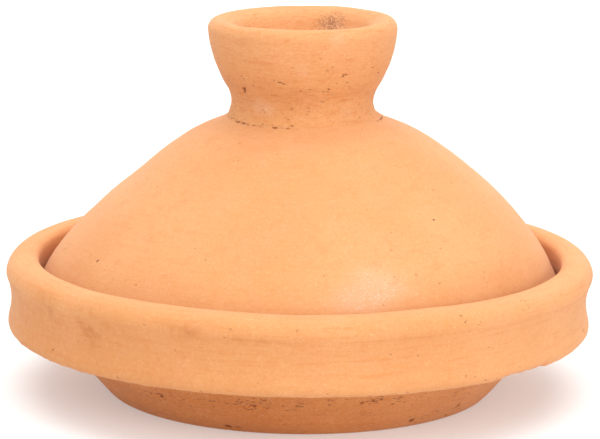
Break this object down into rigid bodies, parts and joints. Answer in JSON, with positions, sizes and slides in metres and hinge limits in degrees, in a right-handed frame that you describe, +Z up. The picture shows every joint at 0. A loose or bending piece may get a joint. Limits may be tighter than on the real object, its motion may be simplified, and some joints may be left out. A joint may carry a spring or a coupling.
{
  "type": "tagine pot",
  "caption": "Round unglazed clay tagine: a shallow dish with a thick banded rim, and a domed lid with a hollow cup-shaped knob that lifts straight off.",
  "frame": {"origin": "centre of the underside of the foot, which stands on the table", "axes": "+Z is up along the axis the pot was turned on; X and Y are free, because the pot is round"},
  "size_m": [0.2796, 0.2796, 0.1774],
  "materials": {
    "dish_clay": "matte, unglazed, gritty terracotta",
    "rim_clay": "matte, unglazed, finely grooved terracotta",
    "lid_clay": "matte, unglazed, sandy terracotta",
    "knob_clay": "matte, unglazed, finely grooved terracotta"
  },
  "bodies": {
    "dish": {"dish_bowl": "dish_clay", "dish_rim_band": "rim_clay"},
    "lid": {"lid_dome": "lid_clay", "lid_knob": "knob_clay"}
  },
  "joints": [
    {"name": "lid_lift", "type": "slide", "parent": "dish", "child": "lid", "axis": [0, 0, 1], "range_m": [0, 0.15]}
  ]
}
